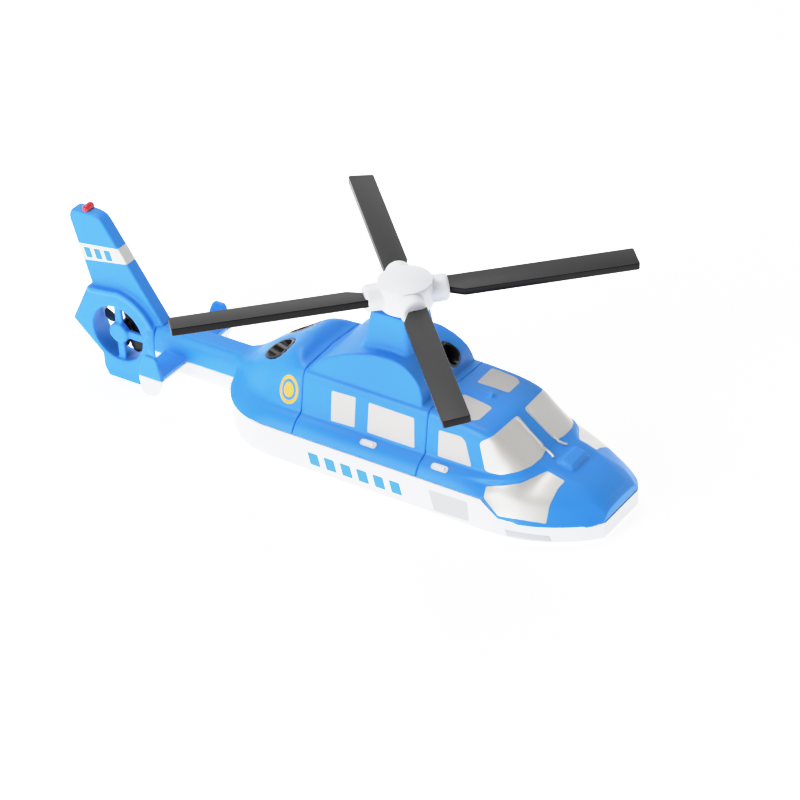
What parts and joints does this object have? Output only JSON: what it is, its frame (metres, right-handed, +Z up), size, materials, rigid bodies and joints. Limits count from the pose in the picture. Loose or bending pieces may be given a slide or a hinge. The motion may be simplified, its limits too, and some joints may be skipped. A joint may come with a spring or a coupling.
{
  "type": "toy helicopter",
  "caption": "Toy helicopter with a pull-off nose and tail over a white hull, a free-spinning main rotor on a raised mast and a ducted fan in the tail fin.",
  "frame": {"origin": "on the flat belly, straight under the rotor mast", "axes": "+X to the nose, +Y to port, +Z up along the rotor mast"},
  "size_m": [0.3006, 0.1558, 0.1055],
  "materials": {
    "blue_plastic": "satin moulded blue",
    "white_plastic": "satin moulded white",
    "black_plastic": "glossy black",
    "blade_plastic": "fine-textured black",
    "silver_window": "silver paint on moulded windows",
    "red_plastic": "glossy red",
    "bearing_plastic": "natural acetal",
    "screw_steel": "zinc plated",
    "magnet_nickel": "nickel plated",
    "window_print": "printed pale grey windows and panels",
    "badge_print": "printed yellow roundel"
  },
  "bodies": {
    "hull": {"hull_tub": "white_plastic", "cabin_shell": "blue_plastic", "intake_left": "black_plastic", "intake_right": "black_plastic", "rotor_bearing": "bearing_plastic", "hull_screws": "screw_steel", "front_bulkhead": "blue_plastic", "rear_bulkhead": "blue_plastic", "cabin_magnets": "magnet_nickel"},
    "nose": {"nose_shell": "blue_plastic", "windshield_left": "silver_window", "windshield_right": "silver_window", "chin_window_left": "silver_window", "chin_window_right": "silver_window", "nose_bulkhead": "blue_plastic", "nose_magnets": "magnet_nickel"},
    "tail": {"tail_shell": "blue_plastic", "boom_lower": "white_plastic", "exhaust_left": "black_plastic", "exhaust_right": "black_plastic", "tail_fin": "blue_plastic", "beacon": "red_plastic", "fan_axle": "screw_steel", "tail_bulkhead": "blue_plastic", "tail_magnets": "magnet_nickel"},
    "main_rotor": {"rotor_hub": "white_plastic", "hub_cap": "white_plastic", "rotor_blade_1": "blade_plastic", "rotor_blade_2": "blade_plastic", "rotor_blade_3": "blade_plastic", "rotor_blade_4": "blade_plastic", "rotor_shaft": "screw_steel", "shaft_clip": "screw_steel"},
    "tail_fan": {"tail_fan": "black_plastic"}
  },
  "joints": [
    {"name": "nose_pull", "type": "slide", "parent": "hull", "child": "nose", "axis": [1, 0, 0], "range_m": [0, 0.09]},
    {"name": "tail_pull", "type": "slide", "parent": "hull", "child": "tail", "axis": [-1, 0, 0], "range_m": [0, 0.06]},
    {"name": "main_rotor_spin", "type": "hinge", "parent": "hull", "child": "main_rotor", "pos_m": [0, 0, 0.086], "axis": [0, 0, 1], "continuous": true},
    {"name": "tail_fan_spin", "type": "hinge", "parent": "tail", "child": "tail_fan", "pos_m": [-0.1648, 0.0026, 0.0159], "axis": [0, 1, 0], "continuous": true}
  ]
}
